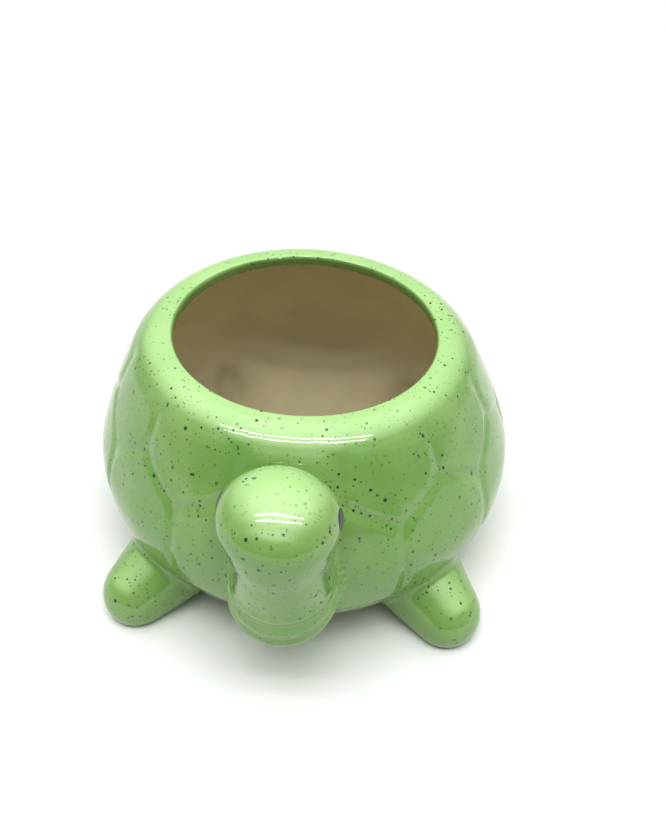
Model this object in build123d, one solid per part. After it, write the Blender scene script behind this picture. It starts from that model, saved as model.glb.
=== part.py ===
from build123d import *

import math
import os

# A slip-cast tortoise planter, in millimetres. It faces -Y, +Z is up, and the
# origin is on the pot's axis at the ground, at the lower edge of the drain hole.
# Everything but the drain hole is drawn round and then stretched along Y by the
# oval share, so lengths along Y below are those before the stretch.
OVAL_SHARE = 1.057

# Wall of the pot. An arc above and below the widest line, each ending in a
# straight flank that runs to the shoulder and to the base.
SHELL_WIDTH = 140.0
WIDEST_HEIGHT = 31.0
UPPER_ARC_RADIUS = 28.0
LOWER_ARC_RADIUS = 34.0
RIM_HEIGHT = 74.5
SHOULDER_HALF_WIDTH = 51.2
SHOULDER_ROUND = 5.0
BASE_HALF_WIDTH = 54.5
BASE_ROUND = 2.5
OPENING_HALF_WIDTH = 42.2
LIP_ROUND = 1.3
WALL = 4.5
FLOOR = 5.0
DRAIN_RADIUS = 5.0

# Clay that is ground off the sole after firing, which leaves it flat
SOLE_GRIND = 0.3

# Glaze skin over the clay
GLAZE = 0.6
GLAZE_FOOT_LINE = 3.0
GLAZE_LIP_DEPTH = 3.6

# Raised scutes: an upper and a lower ring of plates with grooves between them
SCUTE_COUNT = 12
SCUTE_RELIEF = 0.9
SCUTE_GROOVE = 2.2
SCUTE_CORNER = 2.5
SCUTE_TOP = 70.5
SCUTE_SIDE = 57.0
SCUTE_POINT = 48.0
SCUTE_FOOT = 20.0

# Legs: tapered round forms that slope down to the toe and are cut flat at the ground
LEG_ROOT_REACH = 46.0
LEG_ROOT_HEIGHT = 15.0
LEG_ROOT_RADIUS = 18.0
LEG_TOE_HEIGHT = 5.5
LEG_TOE_RADIUS = 11.3
LEG_WALL = 8.0
FRONT_RIGHT_AZIMUTH = -42.5
FRONT_LEFT_AZIMUTH = 43.0
FRONT_LEG_REACH = 74.0
REAR_LEG_AZIMUTH = 140.0
REAR_LEG_REACH = 72.0

# Neck: an elbow that turns about a level hinge line at the nape, with rolls of skin
NAPE_REACH = 57.0
NAPE_HEIGHT = 41.5
ELBOW_RADIUS = 15.5
NECK_RADIUS = 13.8
THROAT_RADIUS = 11.6
NECK_WALL = 5.5
NECK_LOW_ANGLE = -95.0
THROAT_LOW_ANGLE = -9.0
NECK_HIGH_ANGLE = 75.0
NECK_HOLLOW_ANGLE = 30.0
ROLL_THICKNESS = 4.6

# Each roll's angle about the nape, one of them over the step up to the throat, and
# its outer radius as a share of the neck's
ROLL_ANGLES = (-34.0, -21.0, THROAT_LOW_ANGLE, 2.0)
ROLL_RADIUS_SHARES = (1.087, 1.08, 1.03, 0.942)

# Head: a tapered round form, widened and flattened, that points forward, a little down
# and to its right
HEAD_REACH = 73.6
HEAD_HEIGHT = 67.6
HEAD_SIDE = -0.8
HEAD_TURN = -6.0
HEAD_TILT = 11.0
HEAD_RADIUS = 14.2
MUZZLE_RADIUS = 10.5
MUZZLE_REACH = 6.8
HEAD_BREADTH_SHARE = 1.15
HEAD_HEIGHT_SHARE = 0.78

# Eyes: ovals of dark enamel on the sides of the head
EYE_HALF_LENGTH = 3.2
EYE_HALF_HEIGHT = 2.9
EYE_HALF_DEPTH = 1.6
EYE_STAND = 0.5
EYE_FORWARD = -1.8
EYE_RISE = 5.0

# Tail: a short blunt cone
TAIL_ROOT_REACH = 58.0
TAIL_TIP_REACH = 74.0
TAIL_ROOT_HEIGHT = 13.0
TAIL_TIP_HEIGHT = 6.0
TAIL_ROOT_RADIUS = 11.0
TAIL_TIP_RADIUS = 5.0

WIDEST = SHELL_WIDTH / 2
SCUTE_ANGLE = 360.0 / SCUTE_COUNT


def tangent_angle(radius, point):
    """Where a line from a point touches the wall arc of this radius, in degrees above level."""
    across, rise = point[0] - (WIDEST - radius), point[1] - WIDEST_HEIGHT
    swing = math.acos(radius / math.hypot(across, rise))
    return math.degrees(math.atan2(rise, across) - math.copysign(swing, rise))


def half_width(height):
    """The wall's half width at a height, before the glaze and the rounded corners."""
    end = (SHOULDER_HALF_WIDTH, RIM_HEIGHT)
    radius = UPPER_ARC_RADIUS
    if height < WIDEST_HEIGHT:
        end = (BASE_HALF_WIDTH, -SOLE_GRIND)
        radius = LOWER_ARC_RADIUS
    lean = math.radians(tangent_angle(radius, end))
    if abs(height - WIDEST_HEIGHT) > abs(radius * math.sin(lean)):
        return end[0] + (end[1] - height) * math.tan(lean)
    return WIDEST - radius + math.sqrt(radius**2 - (height - WIDEST_HEIGHT) ** 2)


def half_plane(x_low, x_high, z_low, z_high):
    """A rectangle between two distances from the axis and two heights."""
    size = (x_high - x_low, z_high - z_low)
    return Pos((x_low + x_high) / 2, (z_low + z_high) / 2) * Rectangle(*size)


def envelope_section():
    """The filled outline of the pot, both sides of the axis, with rounded corners."""
    shoulder = (SHOULDER_HALF_WIDTH, RIM_HEIGHT)
    base = (BASE_HALF_WIDTH, -SOLE_GRIND)
    side = []
    for radius, end in ((UPPER_ARC_RADIUS, shoulder), (LOWER_ARC_RADIUS, base)):
        centre = (WIDEST - radius, WIDEST_HEIGHT)
        arc = CenterArc(centre, radius, 0, tangent_angle(radius, end))
        side += [arc, Line(arc @ 1, end)]
    floor = Line((-BASE_HALF_WIDTH, -SOLE_GRIND), base)
    band = Line(shoulder, (-SHOULDER_HALF_WIDTH, RIM_HEIGHT))
    section = make_face([floor, band, *side, *(mirror(edge, Plane.YZ) for edge in side)])
    section = fillet(section.vertices().group_by(Axis.Y)[-1], SHOULDER_ROUND)
    return fillet(section.vertices().group_by(Axis.Y)[0], BASE_ROUND)


def turned(section):
    """The right half of a section turned about the pot's axis."""
    half = section & half_plane(0, SHELL_WIDTH, -RIM_HEIGHT, 2 * RIM_HEIGHT)
    return revolve(Plane.XZ * half, Axis.Z)


def block(inset):
    """The filled outline less the mouth, shrunk on all sides by an inset."""
    half = OPENING_HALF_WIDTH + inset
    section = offset(envelope_section(), -inset) if inset else envelope_section()
    section = section - half_plane(-half, half, RIM_HEIGHT / 2, 2 * RIM_HEIGHT)
    lip = section.vertices().group_by(Axis.Y)[-1].sort_by(lambda corner: abs(corner.X))[:2]
    return fillet(lip, LIP_ROUND - inset)


def pot_sections():
    """Sections of the clay, the glaze, the filled clay and the space inside."""
    inside = offset(envelope_section(), -WALL) & half_plane(-WIDEST, WIDEST, FLOOR, RIM_HEIGHT)
    half = OPENING_HALF_WIDTH
    space = inside + half_plane(-half, half, RIM_HEIGHT / 2, 2 * RIM_HEIGHT)
    ceramic = block(0) - inside
    below_lip = half_plane(-half - GLAZE, half + GLAZE, 0, RIM_HEIGHT - GLAZE_LIP_DEPTH)
    foot = half_plane(-WIDEST, WIDEST, -SOLE_GRIND, GLAZE_FOOT_LINE)
    glaze = ceramic - block(GLAZE) - below_lip - foot
    clay = ceramic - glaze
    filled = clay + (space & half_plane(-WIDEST, WIDEST, 0, RIM_HEIGHT))
    return clay, glaze, filled, space


def scute_prism(azimuth, outline):
    """A radial prism through the wall. The outline is half widths and heights, from the top down."""
    outward = (math.sin(math.radians(azimuth)), -math.cos(math.radians(azimuth)), 0)
    sideways = (math.cos(math.radians(azimuth)), math.sin(math.radians(azimuth)), 0)
    points = outline + [(-x, z) for x, z in reversed(outline) if x > 0]
    face = offset(make_face(Polyline(*points, close=True)), -SCUTE_GROOVE / 2)
    face = fillet(face.vertices(), SCUTE_CORNER)
    return extrude(Plane((0, 0, 0), x_dir=sideways, z_dir=outward) * face, SHELL_WIDTH)


def scutes():
    """Both rings of raised plates, let halfway into the glaze."""
    envelope = envelope_section()
    band = offset(envelope, SCUTE_RELIEF) - offset(envelope, -GLAZE / 2)
    ring = turned(band & half_plane(-SHELL_WIDTH, SHELL_WIDTH, SCUTE_FOOT, SCUTE_TOP))
    spread = math.tan(math.radians(SCUTE_ANGLE / 2))

    def edge(height):
        return half_width(height) * spread, height

    upper = [edge(SCUTE_TOP), edge(SCUTE_SIDE), (0, SCUTE_POINT)]
    lower = [(0, SCUTE_SIDE), edge(SCUTE_POINT), edge(SCUTE_FOOT)]
    plates = []
    for number in range(SCUTE_COUNT):
        plates.append(ring & scute_prism(number * SCUTE_ANGLE, upper))
        plates.append(ring & scute_prism((number + 0.5) * SCUTE_ANGLE, lower))
    return plates


def tapered(length, start_radius, end_radius):
    """A round form along X from a ball at the origin to a smaller ball at this length."""
    lean = math.asin((start_radius - end_radius) / length)
    lift = 90 - math.degrees(lean)
    back = CenterArc((0, 0), start_radius, lift, 180 - lift)
    front = CenterArc((length, 0), end_radius, 0, lift)
    flank = Line(back @ 0, front @ 1)
    axis = Line(back @ 1, front @ 0)
    return revolve(make_face([back, flank, front, axis]), Axis.X)


def placed(form, azimuth, reach, height, fall):
    """A form along X set at a reach from the axis, pointing outward and down."""
    return Rot(0, 0, azimuth - 90) * Pos(reach, 0, height) * Rot(0, fall, 0) * form


def above(form, height):
    """What is left of a form above a height."""
    size = 4 * SHELL_WIDTH
    return form - Pos(0, 0, height) * Box(size, size, size, align=(Align.CENTER, Align.CENTER, Align.MAX))


def stretched(form, shares):
    """A form stretched about the origin along X, Y and Z, wherever it has been moved to."""
    return scale(Compound([form]), by=shares)


def leg(azimuth, reach, inset):
    """A leg's outer form, or with an inset the hollow in it."""
    run, drop = reach - LEG_ROOT_REACH, LEG_ROOT_HEIGHT - LEG_TOE_HEIGHT
    form = tapered(math.hypot(run, drop), LEG_ROOT_RADIUS - inset, LEG_TOE_RADIUS - inset)
    fall = math.degrees(math.atan2(drop, run))
    return placed(form, azimuth, LEG_ROOT_REACH, LEG_ROOT_HEIGHT, fall)


def neck_plane(angle):
    """The plane across the neck at an angle about the nape, level being straight ahead."""
    along = (-math.cos(math.radians(angle)), math.sin(math.radians(angle)))
    centre = (0, -NAPE_REACH + along[0] * ELBOW_RADIUS, NAPE_HEIGHT + along[1] * ELBOW_RADIUS)
    return Plane(centre, x_dir=(1, 0, 0), z_dir=(0, along[1], -along[0]))


def neck(inset, high_angle):
    """The neck's elbow with its rolls and the slimmer throat, or with an inset the hollow in it."""
    hinge = Axis((0, -NAPE_REACH, NAPE_HEIGHT), (1, 0, 0))
    throat = neck_plane(NECK_LOW_ANGLE) * Circle(THROAT_RADIUS - inset)
    form = revolve(throat, hinge, NECK_LOW_ANGLE - high_angle)
    elbow = neck_plane(NECK_LOW_ANGLE) * Circle(NECK_RADIUS - inset)
    form = form + revolve(elbow, hinge, NECK_LOW_ANGLE - THROAT_LOW_ANGLE)
    if not inset:
        for angle, share in zip(ROLL_ANGLES, ROLL_RADIUS_SHARES):
            roll = Torus(NECK_RADIUS * share - ROLL_THICKNESS / 2, ROLL_THICKNESS / 2)
            form = form + neck_plane(angle) * Rot(0, 0, 90) * roll
    return form


def head_form():
    """The head's form along X before it is widened and flattened."""
    return tapered(MUZZLE_REACH, HEAD_RADIUS, MUZZLE_RADIUS)


def on_head(form):
    """A form of the head widened, flattened and set in its place."""
    form = stretched(form, (1, HEAD_BREADTH_SHARE, HEAD_HEIGHT_SHARE))
    place = Pos(HEAD_SIDE, -HEAD_REACH, HEAD_HEIGHT) * Rot(0, 0, HEAD_TURN - 90)
    return place * Rot(0, HEAD_TILT, 0) * form


def eye(side):
    """An oval of enamel that stands a little proud of the side of the head."""
    lens = scale(Sphere(1), by=(EYE_HALF_LENGTH, EYE_HALF_DEPTH, EYE_HALF_HEIGHT))
    away = math.sqrt(HEAD_RADIUS**2 - EYE_FORWARD**2)
    lens = Pos(EYE_FORWARD, side * (away + EYE_STAND - EYE_HALF_DEPTH), 0) * lens
    return on_head(Rot(side * EYE_RISE, 0, 0) * lens - head_form())


def tail():
    """A short blunt cone that slopes down behind the pot."""
    run, drop = TAIL_TIP_REACH - TAIL_ROOT_REACH, TAIL_ROOT_HEIGHT - TAIL_TIP_HEIGHT
    form = tapered(math.hypot(run, drop), TAIL_ROOT_RADIUS, TAIL_TIP_RADIUS)
    fall = math.degrees(math.atan2(drop, run))
    return placed(form, 180, TAIL_ROOT_REACH, TAIL_ROOT_HEIGHT, fall)


def build():
    clay, glaze, filled, space = (turned(section) for section in pot_sections())
    legs = {
        "leg_front_right": (FRONT_RIGHT_AZIMUTH, FRONT_LEG_REACH),
        "leg_front_left": (FRONT_LEFT_AZIMUTH, FRONT_LEG_REACH),
        "leg_rear_right": (-REAR_LEG_AZIMUTH, REAR_LEG_REACH),
        "leg_rear_left": (REAR_LEG_AZIMUTH, REAR_LEG_REACH),
    }
    forms = {name: leg(*place, 0) for name, place in legs.items()}
    hollows = {name: above(leg(*place, LEG_WALL), FLOOR) for name, place in legs.items()}
    forms["neck"] = neck(0, NECK_HIGH_ANGLE)
    hollows["neck"] = neck(NECK_WALL, NECK_HOLLOW_ANGLE)
    forms["tail"] = tail()

    parts = {"pot_body": clay, "shell_glaze": glaze}
    for plate in scutes():
        parts["shell_glaze"] += plate
    for name, form in forms.items():
        parts["shell_glaze"] -= form
        parts[name] = form - filled - space
    for name, hollow in hollows.items():
        parts["pot_body"] -= hollow
        parts[name] -= hollow
    parts["head"] = on_head(head_form())
    parts["neck"] -= parts["head"]
    parts["eye_left"] = eye(1)
    parts["eye_right"] = eye(-1)
    for name, part in parts.items():
        parts[name] = above(stretched(part, (1, OVAL_SHARE, 1)), 0)
    parts["pot_body"] -= Cylinder(DRAIN_RADIUS, 4 * FLOOR)
    return parts


def main():
    os.makedirs("parts", exist_ok=True)
    for name, shape in build().items():
        export_step(shape, f"parts/{name}.step")
        print(name, "solids", len(shape.solids()), "volume", round(shape.volume))


if __name__ == "__main__":
    main()
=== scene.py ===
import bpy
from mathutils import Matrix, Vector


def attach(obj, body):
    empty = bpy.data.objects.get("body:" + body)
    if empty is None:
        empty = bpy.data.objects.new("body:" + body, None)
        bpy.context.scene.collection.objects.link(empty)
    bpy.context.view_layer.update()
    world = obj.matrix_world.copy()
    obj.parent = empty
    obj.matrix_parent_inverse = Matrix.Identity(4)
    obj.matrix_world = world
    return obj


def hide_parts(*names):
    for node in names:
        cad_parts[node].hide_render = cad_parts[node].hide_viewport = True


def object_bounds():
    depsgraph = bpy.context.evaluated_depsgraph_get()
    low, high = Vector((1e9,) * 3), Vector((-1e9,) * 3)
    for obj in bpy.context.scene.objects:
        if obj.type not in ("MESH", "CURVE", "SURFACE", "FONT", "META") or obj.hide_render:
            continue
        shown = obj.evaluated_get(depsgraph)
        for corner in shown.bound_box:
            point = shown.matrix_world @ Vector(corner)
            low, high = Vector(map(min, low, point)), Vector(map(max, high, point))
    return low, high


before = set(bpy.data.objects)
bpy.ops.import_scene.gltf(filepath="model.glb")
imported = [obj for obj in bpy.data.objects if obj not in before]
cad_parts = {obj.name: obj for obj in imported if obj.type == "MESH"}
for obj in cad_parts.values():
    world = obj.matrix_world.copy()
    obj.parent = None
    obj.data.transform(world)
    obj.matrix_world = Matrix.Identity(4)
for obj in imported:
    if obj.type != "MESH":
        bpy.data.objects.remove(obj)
cad_box = [list(corner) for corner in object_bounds()]

import math

import bmesh
import bpy
import numpy as np
from mathutils import Quaternion, Vector

# The glazed tortoise is one smooth casting, so its surface is drawn as one field of
# distances in millimetres, the forms of the CAD solids with soft fillets, brows and a
# chin, and is then cut into a piece for each node. Blender's lengths are metres.
MM = 0.001
OVAL_SHARE = 1.057

# Wall of the pot: an arc above and below the widest line, each running on into a
# flatter arc. The rim leans to -X, is a little higher there, and is pressed a little
# flatter front to back.
WIDEST = 70.0
WIDEST_HEIGHT = 31.0
UPPER_ARC_RADIUS = 28.0
LOWER_ARC_RADIUS = 34.0
FLANK_RADIUS = 180.0
RIM_HEIGHT = 74.5
SHOULDER_HALF_WIDTH = 51.6
SHOULDER_ROUND = 5.0
BASE_HALF_WIDTH = 54.5
BASE_ROUND = 2.5
OPENING_HALF_WIDTH = 42.6
LIP_ROUND = 1.3
WALL_STEPS = 900
WALL = 4.5
FLOOR = 5.0
FLOOR_ROUND = 14.0
DRAIN_RADIUS = 5.0
RIM_LEAN = 0.8
RIM_TILT_SHARE = 0.02
RIM_SQUEEZE_SHARE = 0.02
GLAZE_FOOT_LINE = 3.0
GLAZE_LIP_DEPTH = 3.6

# Raised scutes: an upper and a lower ring of plates
SCUTE_COUNT = 12
SCUTE_RELIEF = 0.7
SCUTE_GROOVE = 2.2
SCUTE_CORNER = 5.0
SCUTE_SLOPE = 3.4
SCUTE_TOP = 70.5
SCUTE_SIDE = 57.0
SCUTE_POINT = 48.0
SCUTE_FOOT = 20.0

# Legs and tail. A place is a reach from the axis, a height and a radius, and a leg's
# values are its azimuth in degrees and how far its toe reaches.
LEG_ROOT = (46.0, 15.0, 18.0)
LEG_TOE_HEIGHT = 5.5
LEG_TOE_RADIUS = 11.3
DIMPLE_INSET = 10.8
DIMPLE_BLEND = 8.0
DIMPLE_DEPTH = 4.0
LEGS = {
    "leg_front_right": (-42.5, 74.0),
    "leg_front_left": (43.0, 74.0),
    "leg_rear_right": (-140.0, 72.0),
    "leg_rear_left": (140.0, 72.0),
}
TAIL_ROOT = (58.0, 13.0, 11.0)
TAIL_TIP = (74.0, 6.0, 5.0)
SOLE_ROUND = 1.2
LEG_FILLET = 3.0

# Neck and head. Places are along X, Y and Z, but the brow's is along the head's own
# forward, sideways and upward directions.
NAPE_REACH = 57.0
NAPE_HEIGHT = 41.5
ELBOW_RADIUS = 15.5
NECK_RADIUS = 13.8
THROAT_RADIUS = 11.6
NECK_LOW_ANGLE = -95.0
THROAT_ANGLE = -9.0
THROAT_SPREAD = 24.0
NECK_HIGH_ANGLE = 75.0
ROLL_ANGLES = (-34.0, -21.0, -9.0, 2.0)
ROLL_RISES = (1.5, 1.5, 1.3, 1.1)
ROLL_SPREAD = 3.8
HEAD_PLACE = (-0.8, -73.6, 67.6)
HEAD_TURN = -6.0
HEAD_TILT = 11.0
HEAD_RADIUS = 14.2
MUZZLE_RADIUS = 10.5
MUZZLE_REACH = 6.8
HEAD_BREADTH_SHARE = 1.15
HEAD_HEIGHT_SHARE = 0.78
HEAD_FILLET = 13.0
NAPE_FILLET = 1.0
BROW_PLACE = (-3.5, 8.6, -1.0)
BROW_RADIUS = 6.2
BROW_BLEND = 3.0
NOSE_REACH = 14.5
NOSE_TILT = 10.0
NOSE_ROUND = 7.0
CHIN_TOP = (-0.5, -77.0, 60.0)
CHIN_FOOT = (0.0, -71.0, 42.0)
CHIN_RADIUS = 10.6
CHIN_BLEND = 8.0

# Eyes
EYE_HALF_LENGTH = 3.2
EYE_HALF_HEIGHT = 2.9
EYE_FORWARD = -1.8
EYE_RISE = 5.0
EYE_STAND = 0.35
EYE_SINK = 0.04
EYE_RINGS = 12
EYE_SPOKES = 48
EYE_STEPS = 12
WELD = 0.001

# Camera: where it stands and looks in millimetres, and how far it is rolled
CAMERA_PLACE = (17.46, -215.14, 222.0)
CAMERA_AIM = (9.18, 0.353, 35.0)
CAMERA_ROLL = 2.38
CAMERA_LENS = 34.615
CAMERA_SHIFT = 0.0029
CAMERA_SENSOR = 36.0
CAMERA_NEAR = 10.0

# The net of the surface: its pitch, the empty cells around it, and how its points settle
PITCH = 0.7
MARGIN_CELLS = 3
SWEEPS = 8
EVENING_SWEEPS = 4
EVENING_SHARE = 0.5
PROBE = 0.02
LEAST_STEEP = 0.05
TINY = 1e-6

# Levels between which a cloud counts, for all materials but the glaze's colour
CLOUD_LEVELS = (0.3, 0.7)

# Glaze: pairs of colours that a cloud mixes, a darker pair as painted shade on the sides and a lighter
# pair as painted light on top
SHADED_SIDE_GREENS = ((0.168, 0.325, 0.078), (0.215, 0.365, 0.105))
LIT_TOP_GREENS = ((0.34, 0.56, 0.21), (0.38, 0.59, 0.24))
LIT_TOP_LEVELS = (0.68, 0.98)
SPECK_GREEN = (0.010, 0.040, 0.028)
GLAZE_CLOUD = 22.0
GLAZE_LEVELS = (0.35, 0.65)
GLAZE_IOR = 1.66
GLAZE_ROUGHNESS = (0.05, 0.10)
HAZE_CLOUD = 9.0
RIPPLE_CLOUD = 7.0
RIPPLE_DEPTH = 0.35

# Specks, the faint sunk ones first: the cells that may hold one, a speck's radius and the
# softness of its edge in millimetres, the share of cells that hold one, and how dark it is
SPECK_ROWS = (
    (2.6, 0.50, 0.22, 0.70, 0.50),
    (1.5, 0.28, 0.06, 0.85, 0.80),
    (2.3, 0.44, 0.07, 0.85, 0.95),
    (3.4, 0.62, 0.07, 0.60, 0.96),
)
CROWD_CLOUD = 14.0
CROWD_LEVELS = (0.38, 0.62)
SPARSE_SHARE = 0.35
RAGGED_CLOUD = 0.6
RAGGED_REACH = 0.35

# Clay, enamel and table
WALL_CLAYS = ((0.72, 0.65, 0.44), (0.77, 0.70, 0.48))
FLOOR_CLAYS = ((0.42, 0.375, 0.24), (0.46, 0.41, 0.26))
GRAIN_CLAY = (0.42, 0.37, 0.22)
FLOOR_TONE_TOP = 45.0
FLOOR_TONE_FOOT = 4.0
CLAY_CLOUD = 18.0
CLAY_ROUGHNESS = (0.75, 0.95)
GRAIN_SIZE = 0.5
GRAIN_DEPTH = 0.08
ENAMEL_GREYS = ((0.040, 0.040, 0.043), (0.065, 0.063, 0.068))
ENAMEL_CLOUD = 1.5
ENAMEL_DEPTH = 0.05
ENAMEL_ROUGHNESS = (0.10, 0.2)
TABLE_WHITE = (0.77, 0.77, 0.77)
TABLE_CLOUD = 60.0
TABLE_ROUGHNESS = (0.45, 0.6)
TABLE_HALF = 4000.0
TABLE_GAP = 0.2

# Studio: two tubes overhead and a room that is pale above and dark behind the camera
TUBES = {"tube_near": (0, -420.0, 1200.0), "tube_far": (0, -220.0, 1200.0)}
TUBE_SIZE = (1400.0, 8.0)
TUBE_AIM = (0, 0, 40.0)
TUBE_POWER = 4.0
ROOM_GREYS = ((0.06, 0.06, 0.065), (0.26, 0.26, 0.26))
ROOM_TOP = (1.0, 1.0, 1.0)
ROOM_STRENGTH = 2.3
GAMMA = 0.9
EXPOSURE = 0.02


# Sums of distances

def round_max(first, second, radius):
    """The larger of two distances, with the edge between them rounded."""
    outside = np.hypot(np.maximum(first + radius, 0), np.maximum(second + radius, 0))
    return np.minimum(np.maximum(first, second), -radius) + outside


def soft_min(first, second, blend):
    """The smaller of two distances, with a fillet where they meet."""
    near = np.maximum(blend - np.abs(first - second), 0) / blend
    return np.minimum(first, second) - near * near * blend / 4


def soft_max3(first, second, third):
    """The largest of three distances, with the plates' round corners."""
    return -soft_min(soft_min(-first, -second, SCUTE_CORNER), -third, SCUTE_CORNER)


def smooth_step(value):
    """A value's share of the way from 0 to 1, with a soft start and end."""
    value = np.clip(value, 0, 1)
    return value * value * (3 - 2 * value)


# Profile of the wall

def flank_centre(radius, end):
    """The centre of the flatter arc that runs on from the wall's arc to its end point."""
    centre = np.array((WIDEST - radius, WIDEST_HEIGHT))
    away = np.array(end) - centre
    length = np.hypot(*away)
    along = ((FLANK_RADIUS - radius) ** 2 - FLANK_RADIUS**2 + length**2) / (2 * length)
    across = math.sqrt((FLANK_RADIUS - radius) ** 2 - along**2)
    away = away / length
    normal = np.array((-away[1], away[0])) * math.copysign(1, away[1])
    return centre + along * away + across * normal


def wall_table():
    """Heights, half widths and the cosines of the slope, from the base to the rim."""
    heights = np.linspace(0, RIM_HEIGHT, WALL_STEPS)
    halves = np.empty_like(heights)
    for number, height in enumerate(heights):
        radius, end = UPPER_ARC_RADIUS, (SHOULDER_HALF_WIDTH, RIM_HEIGHT)
        if height < WIDEST_HEIGHT:
            radius, end = LOWER_ARC_RADIUS, (BASE_HALF_WIDTH, 0)
        flank = flank_centre(radius, end)
        touch = WIDEST_HEIGHT + radius * (WIDEST_HEIGHT - flank[1]) / (FLANK_RADIUS - radius)
        if (height - touch) * (touch - WIDEST_HEIGHT) > 0:
            halves[number] = flank[0] + math.sqrt(FLANK_RADIUS**2 - (height - flank[1]) ** 2)
        else:
            halves[number] = WIDEST - radius + math.sqrt(radius**2 - (height - WIDEST_HEIGHT) ** 2)
    slopes = np.gradient(halves, heights)
    return heights, halves, 1 / np.hypot(1, slopes)


WALL_HEIGHTS, WALL_HALVES, WALL_COSINES = wall_table()


def scute_rise(azimuth, height, half):
    """How far the plates stand out at a place on the wall."""
    half_turn = math.radians(180 / SCUTE_COUNT)
    run = SCUTE_SIDE - SCUTE_POINT
    rise = np.zeros_like(height)
    for turn, ends in ((0, SCUTE_TOP), (half_turn, SCUTE_FOOT)):
        swing = (azimuth + turn + half_turn) % (2 * half_turn) - half_turn
        away = half * np.abs(swing)
        side = half * half_turn - away
        upper = ends == SCUTE_TOP
        end = ends - height if upper else height - ends
        slant = height - SCUTE_POINT if upper else SCUTE_SIDE - height
        slant = (slant * half * half_turn - away * run) / np.hypot(half * half_turn, run)
        inside = -soft_max3(-side, -end, -slant) - SCUTE_GROOVE / 2
        rise = np.maximum(rise, smooth_step(inside / SCUTE_SLOPE + 0.5))
    return SCUTE_RELIEF * rise


# The forms. Each takes points as columns x, y, z in millimetres, with Y unstretched.

def pot_place(points):
    """A point's azimuth, distance from the axis and height in the pot before it leaned."""
    height = points[:, 2] * (1 + RIM_TILT_SHARE * points[:, 0] / RIM_HEIGHT)
    across = points[:, 0] + RIM_LEAN * (height / RIM_HEIGHT) ** 2
    share_of_height = np.clip(height, 0, RIM_HEIGHT) / RIM_HEIGHT
    along = points[:, 1] * (1 + RIM_SQUEEZE_SHARE * share_of_height**3)
    return np.arctan2(across, -along), np.hypot(across, along), height


def shell(points):
    """The glazed outside of the pot with its plates, filled."""
    azimuth, reach, height = pot_place(points)
    half = np.interp(height, WALL_HEIGHTS, WALL_HALVES)
    cosine = np.interp(height, WALL_HEIGHTS, WALL_COSINES)
    side = (reach - half - scute_rise(azimuth, height, half)) * cosine
    return round_max(round_max(side, height - RIM_HEIGHT, SHOULDER_ROUND), -height, BASE_ROUND)


def bowl(points):
    """The space inside, with the mouth and a dimple at the root of each leg."""
    _, reach, height = pot_place(points)
    half = np.interp(height, WALL_HEIGHTS, WALL_HALVES)
    cosine = np.interp(height, WALL_HEIGHTS, WALL_COSINES)
    side = (reach - half) * cosine + WALL
    space = round_max(side, FLOOR - height, FLOOR_ROUND)
    space = round_max(space, height - RIM_HEIGHT + WALL, WALL)
    mouth = np.maximum(reach - OPENING_HALF_WIDTH, RIM_HEIGHT - 2 * WALL - height)
    space = soft_min(space, mouth, WALL / 2)
    for azimuth, toe_reach in LEGS.values():
        hollow = np.maximum(leg(points, azimuth, toe_reach, DIMPLE_INSET), FLOOR - points[:, 2])
        hollow = round_max(hollow, side - DIMPLE_DEPTH, DIMPLE_DEPTH)
        space = soft_min(space, hollow, DIMPLE_BLEND)
    return space


def tapered(points, start, end, start_radius, end_radius):
    """A round form between two balls."""
    start, end = np.array(start), np.array(end)
    length = np.linalg.norm(end - start)
    axis = (end - start) / length
    away = points - start
    along = away @ axis
    across = np.linalg.norm(away - along[:, None] * axis, axis=1)
    lean = (start_radius - end_radius) / length
    level = math.sqrt(1 - lean**2)
    reach = level * along - lean * across
    flank = level * across + lean * along - start_radius
    near = np.hypot(across, along) - start_radius
    far = np.hypot(across, along - length) - end_radius
    return np.where(reach < 0, near, np.where(reach > level * length, far, flank))


def outward(azimuth, reach, height):
    """The point at an azimuth from -Y towards +X, a reach from the axis and a height."""
    turn = math.radians(azimuth)
    return reach * math.sin(turn), -reach * math.cos(turn), height


def leg(points, azimuth, toe_reach, inset):
    """A leg, or with an inset the hollow in it."""
    reach, height, radius = LEG_ROOT
    root = outward(azimuth, reach, height)
    toe = outward(azimuth, toe_reach, LEG_TOE_HEIGHT)
    return tapered(points, root, toe, radius - inset, LEG_TOE_RADIUS - inset)


def tail(points):
    root, tip = outward(180, *TAIL_ROOT[:2]), outward(180, *TAIL_TIP[:2])
    return tapered(points, root, tip, TAIL_ROOT[2], TAIL_TIP[2])


def neck(points):
    """An elbow about the nape that narrows to the throat, with rolls of skin."""
    ahead, rise = -points[:, 1] - NAPE_REACH, points[:, 2] - NAPE_HEIGHT
    angle = np.degrees(np.arctan2(rise, ahead))
    reach = np.hypot(ahead, rise)
    narrowing = smooth_step((angle - THROAT_ANGLE) / THROAT_SPREAD + 0.5)
    radius = NECK_RADIUS + (THROAT_RADIUS - NECK_RADIUS) * narrowing
    for roll, roll_rise in zip(ROLL_ANGLES, ROLL_RISES):
        radius = radius + roll_rise * np.exp(-(((angle - roll) / ROLL_SPREAD) ** 2))
    tube = np.hypot(points[:, 0], reach - ELBOW_RADIUS) - radius
    middle = (NECK_LOW_ANGLE + NECK_HIGH_ANGLE) / 2
    beyond = np.abs(angle - middle) - (NECK_HIGH_ANGLE - NECK_LOW_ANGLE) / 2
    return np.maximum(tube, reach * np.sin(np.radians(np.clip(beyond, -90, 90))))


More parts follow.
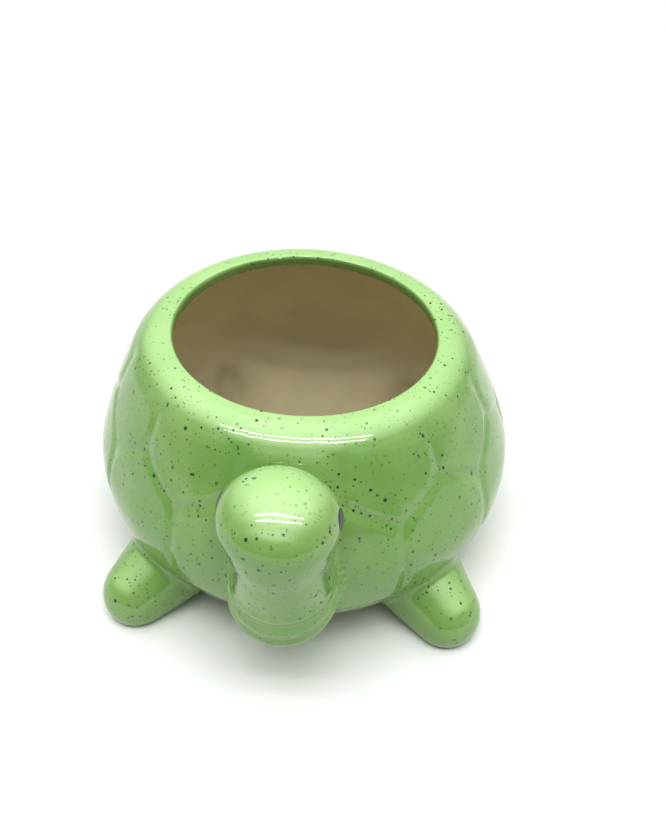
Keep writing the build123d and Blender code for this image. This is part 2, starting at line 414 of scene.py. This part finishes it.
def head_axes():
    """The head's own forward, sideways and upward directions."""
    turn, tilt = math.radians(HEAD_TURN - 90), math.radians(HEAD_TILT)
    flat = np.array((math.cos(turn), math.sin(turn), 0))
    side = np.array((-math.sin(turn), math.cos(turn), 0))
    up = np.array((0, 0, 1))
    forward = math.cos(tilt) * flat - math.sin(tilt) * up
    return forward, side, math.sin(tilt) * flat + math.cos(tilt) * up


def head(points):
    """A flattened head with two brows, a blunt nose and a chin that runs down the throat."""
    local = (points - np.array(HEAD_PLACE)) @ np.array(head_axes()).T
    folded = np.stack([local[:, 0], np.abs(local[:, 1]), local[:, 2]], axis=1)
    brow = np.linalg.norm(folded - np.array(BROW_PLACE), axis=1) - BROW_RADIUS
    local = local / np.array((1, HEAD_BREADTH_SHARE, HEAD_HEIGHT_SHARE))
    round_form = tapered(local, (0, 0, 0), (MUZZLE_REACH, 0, 0), HEAD_RADIUS, MUZZLE_RADIUS)
    slope = math.radians(NOSE_TILT)
    front = local[:, 0] * math.cos(slope) - local[:, 2] * math.sin(slope) - NOSE_REACH
    chin = tapered(points, CHIN_TOP, CHIN_FOOT, CHIN_RADIUS, CHIN_RADIUS)
    face = soft_min(round_max(round_form, front, NOSE_ROUND), brow, BROW_BLEND)
    return soft_min(face, chin, CHIN_BLEND)


def forms(points):
    """The distance to each named form, from points in the real, stretched place."""
    flat = points / np.array((1, OVAL_SHARE, 1))
    found = {"shell_glaze": shell(flat)}
    for name, place in LEGS.items():
        found[name] = leg(flat, *place, 0)
    found["tail"] = tail(flat)
    found["neck"] = neck(flat)
    found["head"] = head(flat)
    return found


def outside(points):
    """The whole glazed outside as one filled form."""
    found = forms(points)
    body = found["shell_glaze"]
    for name in list(LEGS) + ["tail"]:
        body = soft_min(body, found[name], LEG_FILLET)
    under = smooth_step((HEAD_PLACE[2] - points[:, 2]) / HEAD_FILLET + 0.5)
    front = soft_min(found["neck"], found["head"], NAPE_FILLET + (HEAD_FILLET - NAPE_FILLET) * under)
    body = soft_min(body, front, LEG_FILLET)
    return round_max(body, -points[:, 2], SOLE_ROUND)


def inside(points):
    """The space in the pot, with the drain hole."""
    space = bowl(points / np.array((1, OVAL_SHARE, 1)))
    drain = np.hypot(points[:, 0], points[:, 1]) - DRAIN_RADIUS
    return np.minimum(space, np.maximum(drain, points[:, 2] - FLOOR * 2))


def field(points):
    """The distance to the surface, less than nothing in the clay."""
    return round_max(outside(points), -inside(points), LIP_ROUND)


# The surface of the field as a net of four-sided faces

def gradient(points):
    slopes = np.empty_like(points)
    for axis in range(3):
        shift = np.zeros(3)
        shift[axis] = PROBE
        slopes[:, axis] = (field(points + shift) - field(points - shift)) / (2 * PROBE)
    return slopes


def sampled(low, counts, pitch):
    """The field on a grid, slab by slab."""
    axes = [low[axis] + pitch * np.arange(counts[axis]) for axis in range(3)]
    values = np.empty(counts, np.float32)
    y, z = np.meshgrid(axes[1], axes[2], indexing="ij")
    for number, x in enumerate(axes[0]):
        points = np.stack([np.full(y.size, x), y.ravel(), z.ravel()], axis=1)
        values[number] = field(points).reshape(y.shape)
    return values


def surface_net(pitch):
    """Points on the surface, one in each grid cell that it crosses, and the faces between them."""
    low = np.array(cad_box[0]) / MM - MARGIN_CELLS * pitch
    high = np.array(cad_box[1]) / MM + MARGIN_CELLS * pitch
    counts = np.ceil((high - low) / pitch).astype(int) + 1
    values = sampled(low, counts, pitch)
    full = values < 0
    cells = np.zeros(counts - 1, int)
    for corner in np.ndindex(2, 2, 2):
        span = tuple(slice(c, n - 1 + c) for c, n in zip(corner, counts))
        cells += full[span]
    crossed = (cells > 0) & (cells < 8)
    index = np.full(crossed.shape, -1)
    index[crossed] = np.arange(crossed.sum())
    points = low + pitch * (np.argwhere(crossed) + 0.5)
    faces = []
    for axis in range(3):
        first = np.take(full, range(counts[axis] - 1), axis)
        second = np.take(full, range(1, counts[axis]), axis)
        edges = np.argwhere(first != second)
        flips = first[tuple(edges.T)]
        others = [other for other in range(3) if other != axis]
        ring = []
        for first_back, second_back in ((1, 1), (0, 1), (0, 0), (1, 0)):
            cell = edges.copy()
            cell[:, others[0]] -= first_back
            cell[:, others[1]] -= second_back
            ring.append(index[tuple(cell.T)])
        quads = np.stack(ring, axis=1)
        if axis == 1:
            flips = ~flips
        quads[~flips] = quads[~flips][:, ::-1]
        faces.append(quads)
    return points, np.concatenate(faces)


def settled(points, faces):
    """The net's points evened out and moved onto the surface."""
    for sweep in range(SWEEPS):
        if sweep < EVENING_SWEEPS:
            total = np.zeros_like(points)
            count = np.zeros(len(points))
            for side in range(4):
                for other in (side - 1, (side + 1) % 4):
                    np.add.at(total, faces[:, side], points[faces[:, other]])
                    np.add.at(count, faces[:, side], 1)
            points = points + EVENING_SHARE * (total / count[:, None] - points)
        slopes = gradient(points)
        steep = np.maximum((slopes**2).sum(axis=1), LEAST_STEEP)
        move = -field(points) / steep
        length = np.abs(move) * np.sqrt(steep)
        move = move * np.minimum(1, PITCH / np.maximum(length, TINY))
        points = points + move[:, None] * slopes
    return points


def face_names(points, faces):
    """The node that each face belongs to."""
    middles = points[faces].mean(axis=1)
    found = forms(middles)
    names = list(found)
    nearest = np.argmin(np.stack([found[name] for name in names]), axis=0)
    labels = np.array(names)[nearest]
    within = -inside(middles) > outside(middles)
    deep = pot_place(middles / np.array((1, OVAL_SHARE, 1)))[2] < RIM_HEIGHT - GLAZE_LIP_DEPTH
    foot = (middles[:, 2] < GLAZE_FOOT_LINE) & (labels == "shell_glaze")
    labels[(within & deep) | foot] = "pot_body"
    return labels


def make_mesh(name, points, faces):
    """A mesh object in metres, smooth, with the field's own directions as normals."""
    mesh = bpy.data.meshes.new(name)
    mesh.from_pydata((points * MM).tolist(), [], faces.tolist())
    mesh.update()
    slopes = gradient(points)
    slopes /= np.maximum(np.linalg.norm(slopes, axis=1), TINY)[:, None]
    mesh.polygons.foreach_set("use_smooth", np.ones(len(faces), bool))
    mesh.normals_split_custom_set_from_vertices(slopes.tolist())
    piece = bpy.data.objects.new(name, mesh)
    bpy.context.scene.collection.objects.link(piece)
    return piece


def add_piece(piece, node, material):
    piece.data.materials.append(material)
    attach(piece, "root")
    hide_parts(node)


def make_body(materials):
    """Every piece but the eyes."""
    points, faces = surface_net(PITCH)
    points = settled(points, faces)
    labels = face_names(points, faces)
    for node in sorted(set(labels)):
        own = faces[labels == node]
        used, renumbered = np.unique(own, return_inverse=True)
        piece = make_mesh(f"{node}_skin", points[used], renumbered.reshape(own.shape))
        slot = "bare_clay" if node == "pot_body" else "green_glaze"
        add_piece(piece, node, materials[slot])


def eye_place(side):
    """The middle of an eye on the head, and the head's own forward direction."""
    forward, across, up = head_axes()
    rise = math.radians(EYE_RISE)
    away = side * math.cos(rise) * HEAD_BREADTH_SHARE * across
    away = away + math.sin(rise) * HEAD_HEIGHT_SHARE * up
    centre = np.array(HEAD_PLACE) + EYE_FORWARD * forward
    centre = centre + math.sqrt(HEAD_RADIUS**2 - EYE_FORWARD**2) * away
    return centre * np.array((1, OVAL_SHARE, 1)), forward


def lens(side):
    """The points and faces of a thin oval lens that lies on the head, and its way out."""
    centre, forward = eye_place(side)
    way_out = gradient(centre[None])[0]
    way_out /= np.linalg.norm(way_out)
    high = np.cross(forward, way_out)
    high /= np.linalg.norm(high)
    ahead = np.cross(way_out, high)
    shares = np.linspace(0, 1, EYE_RINGS)
    turns = np.arange(EYE_SPOKES) * math.tau / EYE_SPOKES
    shares, turns = np.meshgrid(shares, turns, indexing="ij")
    long = EYE_HALF_LENGTH * shares * np.cos(turns)
    tall = EYE_HALF_HEIGHT * shares * np.sin(turns)
    points = centre + long.reshape(-1, 1) * ahead + tall.reshape(-1, 1) * high
    lift = EYE_STAND * np.sqrt(1 - shares.ravel() ** 2) - EYE_SINK
    for _ in range(EYE_STEPS):
        points = points - (field(points) - lift)[:, None] * way_out
    faces = []
    for ring in range(EYE_RINGS - 1):
        here, there = ring * EYE_SPOKES, (ring + 1) * EYE_SPOKES
        for spoke in range(EYE_SPOKES):
            after = (spoke + 1) % EYE_SPOKES
            faces.append((here + spoke, here + after, there + after, there + spoke))
    return points, faces, way_out


def weld(mesh, way_out):
    """Joins the points that fall together and turns the faces outwards."""
    mesh.validate()
    shape = bmesh.new()
    shape.from_mesh(mesh)
    bmesh.ops.remove_doubles(shape, verts=shape.verts, dist=WELD * MM)
    bmesh.ops.recalc_face_normals(shape, faces=shape.faces)
    shape.normal_update()
    total = sum((face.normal * face.calc_area() for face in shape.faces), Vector())
    if total.dot(Vector(way_out)) < 0:
        bmesh.ops.reverse_faces(shape, faces=shape.faces)
    shape.to_mesh(mesh)
    shape.free()


def make_eye(side, materials):
    name = "eye_left" if side > 0 else "eye_right"
    points, faces, way_out = lens(side)
    mesh = bpy.data.meshes.new(f"{name}_enamel")
    mesh.from_pydata((points * MM).tolist(), [], faces)
    weld(mesh, way_out)
    mesh.polygons.foreach_set("use_smooth", np.ones(len(mesh.polygons), bool))
    piece = bpy.data.objects.new(f"{name}_enamel", mesh)
    bpy.context.scene.collection.objects.link(piece)
    add_piece(piece, name, materials["dark_enamel"])


# Materials

def new_material(name):
    material = bpy.data.materials.new(name)
    material.use_nodes = True
    nodes, links = material.node_tree.nodes, material.node_tree.links
    nodes.clear()
    output = nodes.new("ShaderNodeOutputMaterial")
    shader = nodes.new("ShaderNodeBsdfPrincipled")
    links.new(shader.outputs["BSDF"], output.inputs["Surface"])
    place = nodes.new("ShaderNodeTexCoord")
    return material, nodes, links, shader, place.outputs["Object"]


def noise(nodes, links, place, size, detail=2.0, rough=0.5):
    """A cloud pattern whose lumps are about this size in millimetres."""
    node = nodes.new("ShaderNodeTexNoise")
    node.inputs["Scale"].default_value = 1 / (size * MM)
    node.inputs["Detail"].default_value = detail
    node.inputs["Roughness"].default_value = rough
    links.new(place, node.inputs["Vector"])
    return node


def spread(nodes, links, value, low, high, to_low=0.0, to_high=1.0):
    """A value between two limits, spread softly over another range."""
    node = nodes.new("ShaderNodeMapRange")
    node.interpolation_type = "SMOOTHSTEP"
    node.inputs["From Min"].default_value = low
    node.inputs["From Max"].default_value = high
    node.inputs["To Min"].default_value = to_low
    node.inputs["To Max"].default_value = to_high
    links.new(value, node.inputs["Value"])
    return node.outputs["Result"]


def mix_colour(nodes, links, share, first, second):
    node = nodes.new("ShaderNodeMix")
    node.data_type = "RGBA"
    for socket, value in ((node.inputs[6], first), (node.inputs[7], second)):
        if isinstance(value, tuple):
            socket.default_value = (*value, 1)
        else:
            links.new(value, socket)
    links.new(share, node.inputs["Factor"])
    return node.outputs[2]


def mottled(nodes, links, clouds, levels, colours):
    """Two colours mixed by a cloud between two of its levels."""
    return mix_colour(nodes, links, spread(nodes, links, clouds, *levels), *colours)


def maths(nodes, links, kind, first, second):
    node = nodes.new("ShaderNodeMath")
    node.operation = kind
    links.new(first, node.inputs[0])
    if isinstance(second, float):
        node.inputs[1].default_value = second
    else:
        links.new(second, node.inputs[1])
    return node.outputs[0]


def warped(nodes, links, place, size, amount):
    """Coordinates pushed about by a fine cloud, so that round spots come out ragged."""
    cloud = noise(nodes, links, place, size)
    centred = nodes.new("ShaderNodeVectorMath")
    centred.operation = "SUBTRACT"
    centred.inputs[1].default_value = (0.5, 0.5, 0.5)
    links.new(cloud.outputs["Color"], centred.inputs[0])
    moved = nodes.new("ShaderNodeVectorMath")
    moved.operation = "MULTIPLY_ADD"
    moved.inputs[1].default_value = (amount * MM,) * 3
    links.new(centred.outputs["Vector"], moved.inputs[0])
    links.new(place, moved.inputs[2])
    return moved.outputs["Vector"]


def specks(nodes, links, place, cell, radius, soft, kept):
    """Spots up to a radius in millimetres, one in some of the cells of a random pattern."""
    node = nodes.new("ShaderNodeTexVoronoi")
    node.inputs["Scale"].default_value = 1 / (cell * MM)
    links.new(place, node.inputs["Vector"])
    apart = nodes.new("ShaderNodeSeparateColor")
    links.new(node.outputs["Color"], apart.inputs["Color"])
    own = spread(nodes, links, apart.outputs["Red"], 1 - kept, 1.0, 0.35, 1.0)
    chosen = maths(nodes, links, "GREATER_THAN", apart.outputs["Red"], 1 - kept)
    edge = maths(nodes, links, "MULTIPLY", own, radius / cell)
    gap = maths(nodes, links, "SUBTRACT", edge, node.outputs["Distance"])
    shade = spread(nodes, links, gap, -soft / cell, soft / cell)
    return maths(nodes, links, "MULTIPLY", shade, chosen)


def add_bump(nodes, links, shader, height, depth, strength=1.0):
    node = nodes.new("ShaderNodeBump")
    node.inputs["Strength"].default_value = strength
    node.inputs["Distance"].default_value = depth * MM
    links.new(height, node.inputs["Height"])
    links.new(node.outputs["Normal"], shader.inputs["Normal"])


def glaze_material():
    """Glossy green glaze with dark specks, some of them sunk in it, with painted light on top and
    painted shade on the sides.
    """
    material, nodes, links, shader, place = new_material("green_glaze")
    ragged = warped(nodes, links, place, RAGGED_CLOUD, RAGGED_REACH)
    clouds = noise(nodes, links, place, GLAZE_CLOUD, 3.0).outputs["Fac"]
    # Painted shade and painted light: a darker green for the sides and a lighter one for faces that look
    # up, mixed by how far each face looks up
    shaded_sides = mottled(nodes, links, clouds, GLAZE_LEVELS, SHADED_SIDE_GREENS)
    lit_tops = mottled(nodes, links, clouds, GLAZE_LEVELS, LIT_TOP_GREENS)
    upright = nodes.new("ShaderNodeTexCoord")
    facing = nodes.new("ShaderNodeSeparateXYZ")
    links.new(upright.outputs["Normal"], facing.inputs["Vector"])
    level = spread(nodes, links, facing.outputs["Z"], *LIT_TOP_LEVELS)
    colour = mix_colour(nodes, links, level, shaded_sides, lit_tops)
    crowd = noise(nodes, links, place, CROWD_CLOUD, 1.0).outputs["Fac"]
    crowd = spread(nodes, links, crowd, *CROWD_LEVELS)
    for cell, radius, soft, kept, depth in SPECK_ROWS:
        spots = specks(nodes, links, ragged, cell, radius, soft, kept)
        depths = spread(nodes, links, crowd, 0, 1, SPARSE_SHARE * depth, depth)
        thinned = maths(nodes, links, "MULTIPLY", spots, depths)
        colour = mix_colour(nodes, links, thinned, colour, SPECK_GREEN)
    links.new(colour, shader.inputs["Base Color"])
    haze = noise(nodes, links, place, HAZE_CLOUD).outputs["Fac"]
    links.new(spread(nodes, links, haze, *CLOUD_LEVELS, *GLAZE_ROUGHNESS), shader.inputs["Roughness"])
    shader.inputs["IOR"].default_value = GLAZE_IOR
    ripple = noise(nodes, links, place, RIPPLE_CLOUD, 1.0).outputs["Fac"]
    add_bump(nodes, links, shader, ripple, RIPPLE_DEPTH, 0.35)
    return material


def clay_material():
    """Matte tan clay with a fine grain, darker towards the floor."""
    material, nodes, links, shader, place = new_material("bare_clay")
    clouds = noise(nodes, links, place, CLAY_CLOUD, 4.0).outputs["Fac"]
    wall = mottled(nodes, links, clouds, CLOUD_LEVELS, WALL_CLAYS)
    floor = mottled(nodes, links, clouds, CLOUD_LEVELS, FLOOR_CLAYS)
    apart = nodes.new("ShaderNodeSeparateXYZ")
    links.new(place, apart.inputs["Vector"])
    raised = spread(nodes, links, apart.outputs["Z"], FLOOR_TONE_FOOT * MM, FLOOR_TONE_TOP * MM)
    colour = mix_colour(nodes, links, raised, floor, wall)
    grain = noise(nodes, links, place, GRAIN_SIZE, 4.0, 0.7).outputs["Fac"]
    grains = spread(nodes, links, grain, 0.55, 0.8, 0.0, 0.25)
    colour = mix_colour(nodes, links, grains, colour, GRAIN_CLAY)
    links.new(colour, shader.inputs["Base Color"])
    links.new(spread(nodes, links, grain, 0.2, 0.8, *CLAY_ROUGHNESS), shader.inputs["Roughness"])
    add_bump(nodes, links, shader, grain, GRAIN_DEPTH, 0.6)
    return material


def enamel_material():
    """Glossy dark grey enamel, a little cloudy."""
    material, nodes, links, shader, place = new_material("dark_enamel")
    clouds = noise(nodes, links, place, ENAMEL_CLOUD).outputs["Fac"]
    colour = mottled(nodes, links, clouds, CLOUD_LEVELS, ENAMEL_GREYS)
    links.new(colour, shader.inputs["Base Color"])
    links.new(spread(nodes, links, clouds, *CLOUD_LEVELS, *ENAMEL_ROUGHNESS), shader.inputs["Roughness"])
    add_bump(nodes, links, shader, clouds, ENAMEL_DEPTH, 0.3)
    return material


def table_material():
    """Plain white, with a sheen that varies a little."""
    material, nodes, links, shader, place = new_material("table")
    clouds = noise(nodes, links, place, TABLE_CLOUD, 3.0).outputs["Fac"]
    links.new(spread(nodes, links, clouds, *CLOUD_LEVELS, *TABLE_ROUGHNESS), shader.inputs["Roughness"])
    shader.inputs["Base Color"].default_value = (*TABLE_WHITE, 1)
    return material


# The studio

def make_table():
    mesh = bpy.data.meshes.new("table")
    half = TABLE_HALF * MM
    corners = [(-half, -half, 0), (half, -half, 0), (half, half, 0), (-half, half, 0)]
    mesh.from_pydata(corners, [], [(0, 1, 2, 3)])
    table = bpy.data.objects.new("table", mesh)
    table.location.z = -TABLE_GAP * MM
    bpy.context.scene.collection.objects.link(table)
    table.data.materials.append(table_material())


def make_world():
    """A room that is pale overhead and grey around, darkest behind the camera."""
    world = bpy.data.worlds.new("studio")
    bpy.context.scene.world = world
    world.use_nodes = True
    nodes, links = world.node_tree.nodes, world.node_tree.links
    nodes.clear()
    output = nodes.new("ShaderNodeOutputWorld")
    background = nodes.new("ShaderNodeBackground")
    links.new(background.outputs["Background"], output.inputs["Surface"])
    place = nodes.new("ShaderNodeTexCoord")
    apart = nodes.new("ShaderNodeSeparateXYZ")
    links.new(place.outputs["Generated"], apart.inputs["Vector"])
    ahead = spread(nodes, links, apart.outputs["Y"], -0.8, 0.1)
    raised = spread(nodes, links, apart.outputs["Z"], 0.55, 0.98)
    sides = mix_colour(nodes, links, ahead, *ROOM_GREYS)
    colour = mix_colour(nodes, links, raised, sides, ROOM_TOP)
    links.new(colour, background.inputs["Color"])
    background.inputs["Strength"].default_value = ROOM_STRENGTH


def make_lights():
    """Two long tubes over the pot, level and side by side."""
    for name, place in TUBES.items():
        light = bpy.data.lights.new(name, "AREA")
        light.shape = "RECTANGLE"
        light.size = TUBE_SIZE[0] * MM
        light.size_y = TUBE_SIZE[1] * MM
        light.energy = TUBE_POWER
        holder = bpy.data.objects.new(name, light)
        holder.location = Vector(place) * MM
        away = Vector(TUBE_AIM) - Vector(place)
        holder.rotation_euler = away.to_track_quat("-Z", "Y").to_euler()
        bpy.context.scene.collection.objects.link(holder)


def make_camera():
    camera = bpy.data.cameras.new("camera")
    camera.lens = CAMERA_LENS
    camera.sensor_width = CAMERA_SENSOR
    camera.shift_y = CAMERA_SHIFT
    camera.clip_start = CAMERA_NEAR * MM
    holder = bpy.data.objects.new("camera", camera)
    place, aim = Vector(CAMERA_PLACE) * MM, Vector(CAMERA_AIM) * MM
    turn = (place - aim).to_track_quat("Z", "Y") @ Quaternion((0, 0, 1), math.radians(CAMERA_ROLL))
    holder.location = place
    holder.rotation_euler = turn.to_euler()
    bpy.context.scene.collection.objects.link(holder)
    bpy.context.scene.camera = holder


def main():
    view = bpy.context.scene.view_settings
    view.view_transform = "Standard"
    view.gamma = GAMMA
    view.exposure = EXPOSURE
    make_camera()
    make_world()
    make_lights()
    make_table()
    materials = {
        "green_glaze": glaze_material(),
        "bare_clay": clay_material(),
        "dark_enamel": enamel_material(),
    }
    make_body(materials)
    make_eye(1, materials)
    make_eye(-1, materials)


main()
